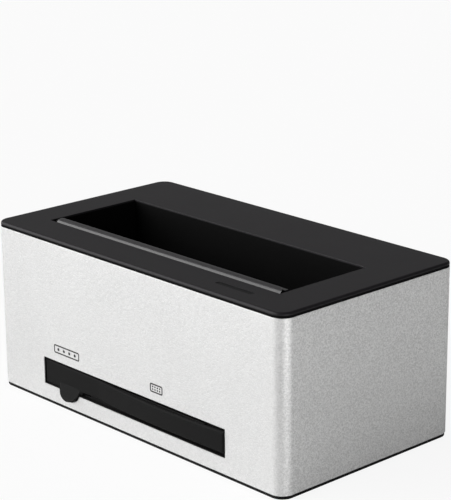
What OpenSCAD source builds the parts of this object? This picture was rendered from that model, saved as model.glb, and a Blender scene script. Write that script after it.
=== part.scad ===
// Hard drive docking station: a satin aluminium sleeve closed by a black base and a black top frame.
// A dust flap covers the drive slot, and a rubber cover closes the ports in the front.
// Millimetres, +Z up, front face towards -Y, origin on the ground under the middle of the sleeve.

/* [Sleeve] */
// Width of the aluminium sleeve
body_w = 192; // [184:1:215]
// Depth of the aluminium sleeve
body_d = 105.5; // [102:0.5:120]
// Height of the aluminium sleeve
sleeve_h = 77.5; // [72:0.5:90]
// Wall of the aluminium sleeve
sleeve_t = 2; // [1.6:0.1:2.6]
// Radius of the sleeve's upright corners
corner_r = 6.2; // [5:0.1:9]

/* [Base] */
// Height of the base above the ground
foot_proud = 0.6; // [0.4:0.1:2]
// Thickness of the base's visible edge
base_edge_t = 1.4; // [1:0.1:3]
// Step from the sleeve's face back to the base's edge
base_inset = 0.8; // [0.3:0.1:1.6]
// Thickness of the base's floor above the visible edge
base_floor_t = 1; // [0.8:0.1:2]
// Height of the base's rim inside the sleeve
base_rim_h = 5; // [3.5:0.1:5.6]
// Thickness of the locating rims of the base and the top frame
rim_t = 1.6; // [1.2:0.1:2]
// Radius of a rubber foot
foot_r = 7; // [5:0.5:8]
// Depth of the pocket that holds a rubber foot
foot_pocket = 0.6; // [0.4:0.1:1]
// Distance from the sleeve's faces to the middle of a foot
foot_inset = 17; // [14:0.5:24]

/* [Top frame] */
// Thickness of the top frame
frame_t = 2.2; // [2:0.1:3.5]
// Radius of the top frame's outer edge
frame_edge_r = 1.4; // [0.8:0.1:1.8]
// Thickness of the frame's lip over the well's rim
lip_t = 0.8; // [0.6:0.1:1.2]
// Depth of the top frame's rim inside the sleeve
skirt_h = 4.5; // [3.5:0.1:6]
// Length of the indicator slit
slit_l = 21.8; // [14:0.1:24]
// Width of the indicator slit
slit_w = 0.8; // [0.7:0.1:1.6]
// Distance from the right face to the middle of the slit
slit_right = 38.5; // [33:0.5:46]
// Distance from the front face to the slit
slit_front = 10.2; // [9.6:0.1:11]

/* [Drive slot] */
// Distance from the left face to the slot
slot_left = 18.35; // [16:0.05:24]
// Distance from the right face to the slot
slot_right = 20.15; // [16:0.05:24]
// Distance from the front face to the slot
slot_front = 18.6; // [17:0.1:21]
// Distance from the back face to the slot
slot_back = 35.4; // [32:0.1:42]
// Wall of the drive well
well_t = 1.6; // [1.2:0.1:2]
// Height of the drive's seat above the well's floor
seat_h = 7; // [5:0.5:9]
// Width between the drive guides
bay_w = 103.2; // [102.2:0.1:106]
// Height of the drive guides above the well's floor
guide_h = 13; // [9:0.5:18]

/* [Dust flap] */
// Radius of the flap's hinge barrel
barrel_r = 3.2; // [2.8:0.1:3.4]
// Gap between the barrel and the slot's front edge
barrel_gap = 0.3; // [0.3:0.05:0.6]
// Depth of the hinge axis below the top of the frame
axis_drop = 2.2; // [2:0.1:2.4]
// Gap between the return spring and the barrel
barrel_left = 0.9; // [0.4:0.1:2]
// Length of the slant at the barrel's right end
slant_l = 11; // [6:0.5:14]
// Thickness of the flap
flap_t = 1.8; // [1.4:0.1:2]
// Gap between the flap's ends and the slot
flap_gap = 0.8; // [0.5:0.1:1.2]
// Depth of the closed flap below the top of the frame
flap_sink = 0.2; // [0:0.1:0.4]
// Radius of the hinge pin
pin_r = 0.8; // [0.6:0.05:0.9]

/* [Flap spring] */
// Diameter of the spring wire
wire_d = 0.6; // [0.5:0.05:0.65]
// Middle radius of the spring's coil
coil_r = 1.7; // [1.55:0.05:1.9]
// Whole turns of the coil
coil_turns = 3; // [2:1:5]
// Rise of the coil in one turn
coil_pitch = 1.1; // [1.1:0.05:1.4]
// Length of the leg that pushes the flap
spring_leg = 13; // [11:0.5:18]

/* [Front ports] */
// Width of the front window
window_w = 123; // [118:0.5:126]
// Height of the front window
window_h = 12.4; // [12:0.1:14]
// Distance from the left face to the window
window_left = 34.3; // [32:0.1:36]
// Height of the window above the ground
window_z = 9.8; // [9.4:0.1:10.2]
// Radius of the half-round finger tab
tab_r = 7.8; // [6:0.1:8]
// Distance from the window's left end to the middle of the tab
tab_in = 18.4; // [14:0.1:24]
// Height of the tab's middle above the ground
tab_z = 12.6; // [12.2:0.1:13.4]
// Gap between the rubber cover and the window
cover_gap = 0.5; // [0.3:0.05:0.8]
// Thickness of the rubber cover
cover_t = 1.2; // [1:0.1:1.4]
// Distance from the window's left end to the crease across the cover
crease_in = 38.7; // [36:0.1:42]
// How far the cover bows out of the front, right of its crease
cover_bow = 1.2; // [0.6:0.1:1.6]
// Distance from the window's left end to the power outlet
outlet_in = 6.6; // [5:0.1:9]
// Distance from the window's right end to the box header
header_in = 14.2; // [10:0.1:18]

/* [Rear ports] */
// Width of the rear panel's window
panel_w = 80; // [72:0.5:90]
// Height of the rear panel's window
panel_h = 14.6; // [14:0.1:16]
// Middle of the power inlet to the right of the middle of the sleeve
inlet_x = 28; // [24:0.5:31]
// Middle of the data socket to the right of the middle of the sleeve
data_x = 7; // [4:0.5:10]
// Middle of the power switch to the right of the middle of the sleeve
switch_x = -23; // [-26:0.5:-18]
// Swing of the switch's rocker from one side to the other, in degrees
rocker_swing = 14; // [8:1:18]

/* [Boards] */
// Thickness of a circuit board
board_t = 1.6; // [1.2:0.1:2]
// Gap between the main board and the posts beside it
board_side_gap = 2.75; // [2.5:0.05:4]
// Gap between the main board and the rear panel
board_back_gap = 2.2; // [1:0.1:4]
// Height of the drive receptacle above the drive's seat
plug_rise = 3; // [1:0.5:4]

/* [Fits] */
// Clearance of pieces that slide into each other
slip = 0.25; // [0.15:0.05:0.35]
// Radial clearance of a pin that turns or a screw in its bore
turn = 0.05; // [0.03:0.01:0.08]
// Gap between faces that lie side by side
seam = 0.1; // [0.05:0.05:0.2]

/* [Hidden] */
$fn = 48;

// Overshoot of a cut past the face that it opens
cut = 1;
// Overlap that fuses two shapes of one piece
fuse = 0.5;

// Levels, from the ground up
sleeve_z = foot_proud + base_edge_t;
floor_z = sleeve_z + base_floor_t;
rim_z = floor_z + base_rim_h;
outlet_h = 9.4;
board_top = window_z + (window_h - outlet_h) / 2;
board_z = board_top - board_t;
frame_z = sleeve_z + sleeve_h;
top_z = frame_z + frame_t;
well_rim_z = top_z - lip_t;

// Faces of the sleeve
inner_w = body_w - 2 * sleeve_t;
inner_d = body_d - 2 * sleeve_t;
inner_r = corner_r - sleeve_t;
left_x = -body_w / 2;
right_x = body_w / 2;
front_y = -body_d / 2;
back_y = body_d / 2;
inner_front_y = front_y + sleeve_t;
inner_back_y = back_y - sleeve_t;

// Slot and well
slot_x0 = left_x + slot_left;
slot_x1 = right_x - slot_right;
slot_y0 = front_y + slot_front;
slot_y1 = back_y - slot_back;
slot_w = slot_x1 - slot_x0;
slot_d = slot_y1 - slot_y0;
slot_x = (slot_x0 + slot_x1) / 2;
well_x0 = slot_x0 - well_t;
well_x1 = slot_x1 + well_t;
well_y0 = slot_y0 - well_t;
well_y1 = slot_y1 + well_t;

// Hinge of the flap: the plate hangs down into the well, and its outer face is flush when it is closed
axis_y = slot_y0 + barrel_gap + barrel_r;
axis_z = top_z - axis_drop;
flap_outer = axis_drop - flap_sink;
flap_inner = flap_outer - flap_t;
flap_far_gap = 0.6;
flap_len = slot_y1 - flap_far_gap - axis_y;
sweep_r = norm([flap_len, flap_outer]);
sweep_gap = 0.9;
flap_x0 = slot_x0 + flap_gap;
flap_x1 = slot_x1 - flap_gap;
spring_angle = coil_turns * 360 + 270;
spring_x0 = slot_x0 + wire_d;
spring_x1 = spring_x0 + coil_pitch * spring_angle / 360;
barrel_x0 = spring_x1 + wire_d / 2 + barrel_left;
shoulder_h = 2.5;
slant_reach = 1.6;
slant_floor = 1.2;
spring_notch_h = 8;
rib_t = 1.2;
rib_h = 1.4;
rib_count = 5;
rib_end_gap = 8;
rib_foot_gap = 4;

// Well floor, below the flap's sweep, and the drive's place in it
floor_gap = 2;
well_floor_z = axis_z - sweep_r - floor_gap;
well_floor_t = 1.6;
seat_z = well_floor_z + seat_h;
seat_w = 4;
seat_in = 5.6;
seat_x = bay_w / 2 - seat_in;
plug_top_z = seat_z + plug_rise;
plug_w = 42.5;
plug_d = 6;
plug_side = 31.6;
plug_x = slot_x + bay_w / 2 - plug_side;
plug_reach = sweep_r + sweep_gap;
plug_y0 = axis_y + sqrt(plug_reach * plug_reach - (axis_z - plug_top_z) * (axis_z - plug_top_z));
plug_y = plug_y0 + plug_d / 2;
guide_t = 2.4;

// Posts and screws
post_r = 4;
post_bite = 0.8;
post_x0 = well_x0 - post_r + post_bite;
post_x1 = well_x1 + post_r - post_bite;
post_end_gap = 9.5;
post_ys = [slot_y0 + post_end_gap, slot_y1 - post_end_gap];
post_top_gap = 3;
post_top = frame_z - skirt_h - post_top_gap;
screw_r = 1.5;
screw_head_r = 2.8;
screw_head_h = 1.8;
screw_bite = 8;
ear_w = 10;
ear_d = 9;
ear_t = 1.8;
ear_z = frame_z - skirt_h - ear_t;
ear_hole = 4.5;
ear_end_gap = 16.75;
ear_slit_gap = 32;
slit_x = right_x - slit_right;
slit_y = front_y + slit_front;
frame_screw_bite = 3.6;
frame_screw_spots = [
    [slot_x0 + ear_end_gap, well_y0 - ear_hole, -1], [slit_x - ear_slit_gap, well_y0 - ear_hole, -1],
    [slot_x0 + ear_end_gap, well_y1 + ear_hole, 1], [slot_x1 - ear_end_gap, well_y1 + ear_hole, 1]
];
boss_r = 3.2;

// Indicator
guide_body_w = 3;
guide_body_h = 3.4;
lamp_h = 0.6;
lamp_board_t = 1;
lamp_board_z = frame_z - guide_body_h - lamp_h - lamp_board_t;
lamp_post_r = 1.6;
lamp_post_gap = 3.4;
lamp_post_x = slit_l / 2 + lamp_post_gap;

// Main board between the front bezel and the rear panel, and the boards above it
bezel_t = 1.8;
bezel_y = inner_front_y + seam;
panel_t = 1.8;
panel_y = inner_back_y - seam - panel_t;
board_front_gap = 1.5;
board_x0 = post_x0 + post_r + board_side_gap;
board_x1 = post_x1 - post_r - board_side_gap;
board_y0 = bezel_y + bezel_t + board_front_gap;
board_y1 = panel_y - board_back_gap;
board_hole_side = 6;
board_hole_front = 20;
board_hole_back = 8;
board_spots = [for (x = [board_x0 + board_hole_side, board_x1 - board_hole_side],
                    y = [board_y0 + board_hole_front, board_y1 - board_hole_back]) [x, y]];
board_screw_r = 1.3;
board_screw_gap = 1;
board_boss_r = 3;
drive_board_w = 62;
drive_board_gap = 0.6;
drive_board_z = well_floor_z - well_floor_t - drive_board_gap - board_t;
drive_board_front = 8;
drive_board_back = 16;
drive_screw_side = 4;
drive_screw_x = drive_board_w / 2 - drive_screw_side;
drive_screw_r = 1;
drive_head_r = 2.2;
drive_head_h = 1.4;
drive_screw_bite = 0.8;
drive_boss_r = 2.5;
riser_w = 40;
riser_back = 9;
riser_y = plug_y + riser_back;
riser_pin_h = (drive_board_z - board_top) * 0.45;
riser_pin_d = 2.5;
riser_end_gap = 2;

// Parts on the main board: the middle of each, and its size
bridge_left = 26;
bridge_back = 45;
bridge_spot = [slot_x - bridge_left, board_y1 - bridge_back];
bridge_size = [14, 14, 1.6];
memory_left = 8;
memory_back = 41;
memory_spot = [slot_x - memory_left, board_y1 - memory_back];
memory_size = [5, 6, 1.7];
crystal_back = 30;
crystal_spot = [bridge_spot[0], board_y1 - crystal_back];
crystal_r = 2.3;
crystal_l = 6.4;
crystal_h = 3.5;
capacitor_in = 23.3;
capacitor_pitch = 9.5;
capacitor_back = 18;
capacitor_spots = [for (i = [0, 1]) [board_x1 - capacitor_in - i * capacitor_pitch, board_y1 - capacitor_back]];
capacitor_r = 4;
capacitor_h = 10;
coil_in = 24.8;
coil_gap = 13;
coil_back = 20;
coil_spots = [for (i = [0, 1]) [board_x0 + coil_in + i * coil_gap, board_y1 - coil_back]];
coil_size = [10, 10, 5];
coil_ring_r = 3.5;
coil_ring_t = 1;
regulator_in = 20.8;
regulator_back = 35;
regulator_spot = [board_x0 + regulator_in, board_y1 - regulator_back];
regulator_size = [6.5, 6, 2.3];
regulator_tab = [5.2, 1.8, 0.6];

// Front ports
window_x0 = left_x + window_left;
window_x1 = window_x0 + window_w;
tab_x = window_x0 + tab_in;
tab_gap = 0.3;
cover_sink = 0.2;
cover_y = front_y + cover_sink;

// Bow of the cover: an arc from the crease to the right end
bow_sink = 0.5;
bow_x0 = window_x0 + crease_in;
bow_x1 = window_x1 - cover_gap;
bow_rise = cover_bow + bow_sink;
bow_half = (bow_x1 - bow_x0) / 2;
bow_r = (bow_half * bow_half + bow_rise * bow_rise) / (2 * bow_rise);
bow_fn = 720;
bezel_margin = 4;
bezel_rise = 3;
bezel_top = window_z + window_h + bezel_rise;
mouth_gap = 0.8;
socket_gap = 0.3;
socket_y = bezel_y + bezel_t + socket_gap;
plug_ring_t = 1.2;
plug_ring_gap = 0.3;
header_w = 58.4;
header_x = window_x1 - header_in - header_w / 2;
header_h = 9.1;
header_d = 9;
header_wall = 1.1;
header_cavity = 6.5;
header_pitch = 2.54;
header_pin = 0.64;
header_pin_l = 5.6;
header_tail = 1.2;
key_w = 4.5;
outlet_w = 23.6;
outlet_x = window_x0 + outlet_in + outlet_w / 2;
outlet_d = 12;
outlet_wall = 1.2;
outlet_cavity = 9.5;
outlet_pitch = 5.08;
outlet_pin_r = 1.05;
outlet_pin_l = 8;
outlet_corner = 1.6;

// Rear ports
rear_sink = 0.2;
rear_y = back_y - rear_sink;
panel_drop = 1;
panel_z = board_top - panel_drop;
panel_margin = 4;
inlet_w = 9;
inlet_h = 11;
inlet_d = 14;
inlet_bore_r = 3.2;
inlet_bore_l = 9.5;
inlet_pin_r = 1;
inlet_pin_l = 8.5;
data_w = 12;
data_h = 10.8;
data_d = 16.5;
data_wall = 0.5;
data_corner = 2;
data_mouth = 9;
tongue_w = 5.6;
tongue_h = 3.2;
tongue_l = 8;
contact_w = 1;
contact_t = 0.3;
contact_l = 7;
switch_w = 19;
switch_h = 11;
switch_d = 15;
switch_wall = 1.2;
switch_pit = 8;
rocker_w = 14.4;
rocker_h = switch_h - 2 * switch_wall - 2 * slip;
rocker_sink = 3.4;
rocker_y = rear_y - rocker_sink;
rocker_pivot_r = 1;
rocker_pivot_l = 0.8;
rocker_face = 2.3;
rocker_dip = 0.9;
rocker_back = 2.6;
rocker_side = 1.5;
rocker_taper = 0.6;
rocker_slope = 3;
rocker_room = 1;

// Flat outline with round corners
module rounded_rect(w, d, r) {
    square([w - 2 * r, d], center = true);
    square([w, d - 2 * r], center = true);
    for (x = [-1, 1], y = [-1, 1])
        translate([x * (w / 2 - r), y * (d / 2 - r)]) circle(r);
}

// Ring of even thickness between two such outlines
module rounded_ring(w, d, r, t) {
    difference() {
        rounded_rect(w, d, r);
        rounded_rect(w - 2 * t, d - 2 * t, max(r - t, 0.5));
    }
}

// Profile with one round upper corner, from the middle line out
module edge_profile(reach, h, e) {
    square([reach, h - e]);
    square([reach - e, h]);
    intersection() {
        translate([reach - e, h - e]) circle(e);
        translate([0, h - e]) square([reach + cut, e + cut]);
    }
}

// Plate with round corners and a round upper edge: two runs across it, two end strips and four corners
module edge_rounded_plate(w, d, h, r, e) {
    for (turned = [0, 180]) rotate(turned) {
        translate([-w / 2 + r, 0, 0]) rotate([90, 0, 90]) linear_extrude(w - 2 * r) edge_profile(d / 2, h, e);
        translate([w / 2 - r, d / 2 - r, 0]) rotate([90, 0, 0]) linear_extrude(d - 2 * r) edge_profile(r, h, e);
        translate([w / 2 - r, d / 2 - r, 0]) rotate_extrude(angle = 90) edge_profile(r, h, e);
        translate([-w / 2 + r, d / 2 - r, 0]) rotate(90) rotate_extrude(angle = 90) edge_profile(r, h, e);
    }
}

// Box given by its middle in X and Y and its lowest level
module block(x, y, z, w, d, h) {
    translate([x - w / 2, y - d / 2, z]) cube([w, d, h]);
}

// Screw standing on its head's underside at the origin, with its shank up and a cross recess below
module screw(head_r, head_h, shank_r, shank_l) {
    recess_w = head_r * 0.3;
    recess_l = head_r * 1.2;
    difference() {
        translate([0, 0, -head_h]) cylinder(r = head_r, h = head_h);
        block(0, 0, -head_h - cut, recess_w, recess_l, head_h / 2 + cut);
        block(0, 0, -head_h - cut, recess_l, recess_w, head_h / 2 + cut);
    }
    cylinder(r = shank_r, h = shank_l);
}

// Places of the four feet
module at_feet() {
    for (x = [-1, 1], y = [-1, 1])
        translate([x * (body_w / 2 - foot_inset), y * (body_d / 2 - foot_inset), 0]) children();
}

// Places of the four posts that tie the base to the well
module at_posts() {
    for (x = [post_x0, post_x1], y = post_ys) translate([x, y, 0]) children();
}

// Round of the finger tab, across the front wall
module tab_round(r, y, t) {
    translate([tab_x, y, tab_z]) rotate([-90, 0, 0]) cylinder(r = r, h = t);
}

module sleeve() color("silver") difference() {
    translate([0, 0, sleeve_z]) linear_extrude(sleeve_h) rounded_ring(body_w, body_d, corner_r, sleeve_t);
    translate([window_x0, front_y - cut, window_z]) cube([window_w, sleeve_t + 2 * cut, window_h]);
    tab_round(tab_r + tab_gap, front_y - cut, sleeve_t + 2 * cut);
    translate([-panel_w / 2, inner_back_y - cut, panel_z]) cube([panel_w, sleeve_t + 2 * cut, panel_h]);
}

module top_frame() color("dimgray") difference() {
    union() {
        translate([0, 0, frame_z]) edge_rounded_plate(body_w, body_d, frame_t, corner_r, frame_edge_r);
        translate([0, 0, frame_z - skirt_h]) linear_extrude(skirt_h + fuse)
            rounded_ring(inner_w - 2 * slip, inner_d - 2 * slip, inner_r - slip, rim_t);
        for (s = frame_screw_spots)
            translate([s[0], s[1], frame_z - skirt_h]) cylinder(r = boss_r, h = skirt_h + fuse);
        for (x = [-1, 1])
            translate([slit_x + x * lamp_post_x, slit_y, lamp_board_z + lamp_board_t])
                cylinder(r = lamp_post_r, h = frame_z - lamp_board_z - lamp_board_t + fuse);
    }
    translate([slot_x0, slot_y0, frame_z - skirt_h]) cube([slot_w, slot_d, skirt_h + frame_t + cut]);
    translate([well_x0 - slip, well_y0 - slip, frame_z - skirt_h])
        cube([slot_w + 2 * (well_t + slip), slot_d + 2 * (well_t + slip), skirt_h + well_rim_z - frame_z]);
    block(slit_x, slit_y, frame_z - cut, slit_l, slit_w, frame_t + 2 * cut);
    for (s = frame_screw_spots)
        translate([s[0], s[1], frame_z - skirt_h - cut])
            cylinder(r = board_screw_r + turn, h = frame_screw_bite + cut);
}

// Guides beside the drive and rails under it, cut back to the flap's sweep
module drive_cradle() {
    y0 = plug_y - plug_d;
    y1 = slot_y1 + fuse;
    difference() {
        for (side = [-1, 1]) {
            block(slot_x + side * (bay_w + guide_t) / 2, (y0 + y1) / 2, well_floor_z - fuse,
                  guide_t, y1 - y0, guide_h + fuse);
            block(slot_x + side * seat_x, (y0 + y1) / 2, well_floor_z - fuse, seat_w, y1 - y0, seat_h + fuse);
        }
        translate([slot_x0, axis_y, axis_z]) rotate([0, 90, 0]) cylinder(r = sweep_r + sweep_gap, h = slot_w);
    }
}

module drive_well() color("black") difference() {
    union() {
        difference() {
            translate([well_x0, well_y0, well_floor_z - well_floor_t])
                cube([slot_w + 2 * well_t, slot_d + 2 * well_t, well_rim_z - well_floor_z + well_floor_t]);
            translate([slot_x0, slot_y0, well_floor_z]) cube([slot_w, slot_d, well_rim_z]);
        }
        drive_cradle();
        for (side = [-1, 1])
            translate([plug_x + side * drive_screw_x, plug_y, drive_board_z + board_t])
                cylinder(r = drive_boss_r, h = drive_board_gap + fuse);
        at_posts() translate([0, 0, rim_z]) cylinder(r = post_r, h = post_top - rim_z);
        for (s = frame_screw_spots)
            block(s[0], s[1] + s[2] * (ear_d / 2 - ear_hole), ear_z, ear_w, ear_d + 2 * fuse, ear_t);
    }
    block(plug_x, plug_y, well_floor_z - well_floor_t - cut, plug_w + 2 * slip, plug_d + 2 * slip, seat_h);
    translate([well_x0 - cut, axis_y, axis_z]) rotate([0, 90, 0])
        cylinder(r = pin_r + turn / 2, h = slot_w + 2 * well_t + 2 * cut);
    at_posts() translate([0, 0, rim_z - cut]) cylinder(r = screw_r + turn, h = cut + screw_bite + seam);
    for (s = frame_screw_spots)
        translate([s[0], s[1], ear_z - cut]) cylinder(r = screw_r + turn, h = ear_t + 2 * cut);
    for (side = [-1, 1])
        translate([plug_x + side * drive_screw_x, plug_y, drive_board_z])
            cylinder(r = drive_screw_r + turn, h = board_t + drive_board_gap + drive_screw_bite + seam);
}

module slot_flap() color("dimgray") difference() {
    rib_x0 = barrel_x0 + rib_end_gap;
    rib_x1 = flap_x1 - rib_end_gap;
    union() {
        translate([barrel_x0, axis_y, axis_z]) rotate([0, 90, 0]) cylinder(r = barrel_r, h = flap_x1 - barrel_x0);
        translate([flap_x0, axis_y + flap_inner, axis_z - flap_len])
            cube([flap_x1 - flap_x0, flap_t, flap_len + shoulder_h]);
        for (i = [0 : rib_count - 1])
            translate([rib_x0 + i * (rib_x1 - rib_x0) / (rib_count - 1) - rib_t / 2,
                       axis_y + flap_inner - rib_h, axis_z - flap_len + rib_foot_gap])
                cube([rib_t, rib_h + fuse, flap_len - rib_foot_gap]);
        spring_pad();
    }
    translate([flap_x0 - cut, axis_y + flap_inner - cut, axis_z - spring_notch_h])
        cube([barrel_x0 - flap_x0 + cut, flap_t + 2 * cut, spring_notch_h + shoulder_h + cut]);
    translate([barrel_x0 - cut, axis_y, axis_z]) rotate([0, 90, 0])
        cylinder(r = pin_r + turn, h = flap_x1 - barrel_x0 + 2 * cut);
    barrel_slant();
}

// Pad on the flap's inner face that the spring's leg pushes
module spring_pad() {
    pad_y = axis_y - coil_r + wire_d / 2 + seam / 2;
    translate([spring_x1 - wire_d, pad_y, axis_z - spring_leg - wire_d])
        cube([barrel_x0 - spring_x1 + wire_d, axis_y + flap_inner - pad_y + fuse, spring_leg - spring_notch_h]);
}

// Slanted cut into the top of the barrel's right end, which leaves the plate's edge standing behind it
module barrel_slant() {
    run = slant_l / (flap_outer + slant_reach);
    function slant_x(y) = flap_x1 - (y + slant_reach) * run;
    end_x = flap_x1 + cut;
    end_y = -slant_reach - cut / run;
    translate([0, axis_y, axis_z + shoulder_h]) linear_extrude(barrel_r)
        polygon([[slant_x(barrel_r), barrel_r], [end_x, end_y], [end_x, barrel_r]]);
    translate([0, axis_y, axis_z + slant_floor]) linear_extrude(barrel_r)
        polygon([[slant_x(flap_inner), flap_inner], [end_x, end_y], [end_x, flap_inner]]);
}

module flap_pin() color("lightgray")
    translate([well_x0, axis_y, axis_z]) rotate([0, 90, 0]) cylinder(r = pin_r, h = slot_w + 2 * well_t);

// Spring wire: a leg against the well's front wall, the coil round the pin, and a leg down behind the flap's pad
spring_steps = 8;
spring_sides = 6;
spring_rings = spring_angle * spring_steps / 360;
function coil_point(i) =
    let (a = i * 360 / spring_steps)
    [spring_x0 + coil_pitch * a / 360, axis_y + coil_r * sin(a), axis_z - coil_r * cos(a)];
spring_path = concat(
    [for (y = [slot_y0 + seam, slot_y0 + seam + wire_d]) [spring_x0, y, axis_z - coil_r]],
    [for (i = [0 : spring_rings]) coil_point(i)],
    [for (z = [spring_leg / 2, spring_leg - wire_d, spring_leg]) [spring_x1, axis_y - coil_r, axis_z - z]]
);
function unit(v) = v / norm(v);
function path_way(p, i) = unit(p[min(i + 1, len(p) - 1)] - p[max(i - 1, 0)]);
function tube_ring(p, i, r, sides) =
    let (way = path_way(p, i), u = unit(cross(way, [1, 0, 0])), v = cross(way, u))
    [for (k = [0 : sides - 1]) p[i] + r * (cos(k * 360 / sides) * u + sin(k * 360 / sides) * v)];
function path_gap(p, d, apart) = min([for (i = [0 : len(p) - 1 - apart], j = [i + apart : len(p) - 1])
    norm(p[i] - p[j])]) - d;
echo(least_gap_of_the_spring_to_itself = path_gap(spring_path, wire_d, spring_steps / 2));

module tube(p, r, sides) {
    rings = len(p);
    points = [for (i = [0 : rings - 1]) each tube_ring(p, i, r, sides)];
    walls = [for (i = [0 : rings - 2], k = [0 : sides - 1])
        let (a = i * sides + k, b = i * sides + (k + 1) % sides)
        each [[a, b, a + sides], [b, b + sides, a + sides]]];
    first = [for (k = [1 : sides - 2]) [0, k + 1, k]];
    end = (rings - 1) * sides;
    last = [for (k = [1 : sides - 2]) [end, end + k, end + k + 1]];
    polyhedron(points, concat(walls, first, last), convexity = 8);
}

module flap_spring() color("gray") tube(spring_path, wire_d / 2, spring_sides);

module light_guide() color("darkslategray") {
    block(slit_x, slit_y, frame_z - guide_body_h, slit_l, guide_body_w, guide_body_h);
    block(slit_x, slit_y, frame_z - fuse, slit_l - seam, slit_w - seam, frame_t - flap_sink + fuse);
}

module indicator_lamps() color("white")
    for (x = [-1, 1]) block(slit_x + x * slit_l / 4, slit_y, lamp_board_z + lamp_board_t, 2, 1.25, lamp_h);

module indicator_board() color("darkgreen")
    block(slit_x, slit_y, lamp_board_z, 2 * (lamp_post_x + lamp_post_r), 2 * lamp_post_r + 1, lamp_board_t);

module base_plate() color("black") difference() {
    union() {
        translate([0, 0, foot_proud]) linear_extrude(base_edge_t)
            rounded_rect(body_w - 2 * base_inset, body_d - 2 * base_inset, corner_r - base_inset);
        translate([0, 0, sleeve_z - fuse]) linear_extrude(base_floor_t + fuse)
            rounded_rect(inner_w - 2 * slip, inner_d - 2 * slip, inner_r - slip);
        translate([0, 0, floor_z - fuse]) linear_extrude(base_rim_h + fuse)
            rounded_ring(inner_w - 2 * slip, inner_d - 2 * slip, inner_r - slip, rim_t);
        at_posts() translate([0, 0, floor_z - fuse]) cylinder(r = post_r, h = base_rim_h + fuse);
        for (s = board_spots)
            translate([s[0], s[1], floor_z - fuse]) cylinder(r = board_boss_r, h = board_z - floor_z + fuse);
    }
    at_feet() translate([0, 0, foot_proud - cut]) cylinder(r = foot_r + seam, h = foot_pocket + cut);
    at_posts() {
        translate([0, 0, foot_proud - cut]) cylinder(r = screw_head_r + slip, h = floor_z - foot_proud + cut);
        cylinder(r = screw_r + turn, h = rim_z + cut);
    }
    for (s = board_spots)
        translate([s[0], s[1], floor_z]) cylinder(r = board_screw_r + turn, h = board_z);
}

module rubber_feet() color("black") at_feet() {
    cylinder(r1 = foot_r - foot_proud / 2, r2 = foot_r, h = foot_proud / 2);
    translate([0, 0, foot_proud / 2]) cylinder(r = foot_r, h = foot_proud / 2 + foot_pocket);
}

module base_screws() color("gainsboro")
    at_posts() translate([0, 0, floor_z]) screw(screw_head_r, screw_head_h, screw_r, rim_z - floor_z + screw_bite);

module frame_screws() color("gainsboro")
    for (s = frame_screw_spots)
        translate([s[0], s[1], ear_z])
            screw(screw_head_r, screw_head_h, board_screw_r, ear_t + frame_screw_bite - seam);

module main_board() color("darkgreen") difference() {
    translate([board_x0, board_y0, board_z]) cube([board_x1 - board_x0, board_y1 - board_y0, board_t]);
    for (s = board_spots)
        translate([s[0], s[1], board_z - cut]) cylinder(r = screw_r + turn, h = board_t + 2 * cut);
}

module board_screws() color("gainsboro")
    for (s = board_spots)
        translate([s[0], s[1], board_top]) rotate([180, 0, 0])
            screw(screw_head_r, screw_head_h, board_screw_r, board_top - floor_z - board_screw_gap);

module drive_board() color("darkgreen") difference() {
    translate([plug_x - drive_board_w / 2, plug_y - drive_board_front, drive_board_z])
        cube([drive_board_w, drive_board_front + drive_board_back, board_t]);
    for (side = [-1, 1])
        translate([plug_x + side * drive_screw_x, plug_y, drive_board_z - cut])
            cylinder(r = drive_screw_r + 2 * turn, h = board_t + 2 * cut);
}

module drive_board_screws() color("gainsboro")
    for (side = [-1, 1])
        translate([plug_x + side * drive_screw_x, plug_y, drive_board_z])
            screw(drive_head_r, drive_head_h, drive_screw_r, board_t + drive_board_gap + drive_screw_bite);

// Slots of the drive receptacle: middle in X from the receptacle's middle, width, and contacts
plug_slots = [[-13.4, 10.6, 7], [6.6, 21.4, 15]];
plug_slot_d = 2.4;
plug_slot_l = 6;
plug_pitch = 1.27;
plug_contact = [0.7, 0.4, 5.4];

module drive_receptacle() color("black") difference() {
    block(plug_x, plug_y, drive_board_z + board_t, plug_w, plug_d, plug_top_z - drive_board_z - board_t);
    for (s = plug_slots)
        block(plug_x + s[0], plug_y, plug_top_z - plug_slot_l, s[1], plug_slot_d, plug_slot_l + cut);
}

module drive_contacts() color("gold")
    for (s = plug_slots, i = [0 : s[2] - 1])
        block(plug_x + s[0] + (i - (s[2] - 1) / 2) * plug_pitch, plug_y + (plug_slot_d - plug_contact[1]) / 2,
              plug_top_z - plug_slot_l, plug_contact[0], plug_contact[1], plug_contact[2]);

module riser_board() color("darkgreen")
    block(plug_x, riser_y + board_t / 2, board_top, riser_w, board_t, drive_board_z - board_top);

module riser_headers() color("black")
    for (z = [board_top, drive_board_z - riser_pin_h])
        block(plug_x, riser_y + board_t + riser_pin_d / 2, z,
              riser_w - 2 * riser_end_gap, riser_pin_d, riser_pin_h);

module box_header() color("black") difference() {
    block(header_x, socket_y + header_d / 2, board_top, header_w, header_d, header_h);
    block(header_x, socket_y + header_cavity / 2 - cut / 2, board_top + header_wall,
          header_w - 2 * header_wall, header_cavity + cut, header_h - 2 * header_wall);
    block(header_x, socket_y + header_cavity / 2 - cut / 2, board_top + header_h - header_wall - fuse,
          key_w, header_cavity + cut, header_wall + fuse + cut);
}

// Forty pins in two rows, less the blocked one, with their tails bent down to the board
header_columns = 20;
header_key_column = 10;

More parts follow.
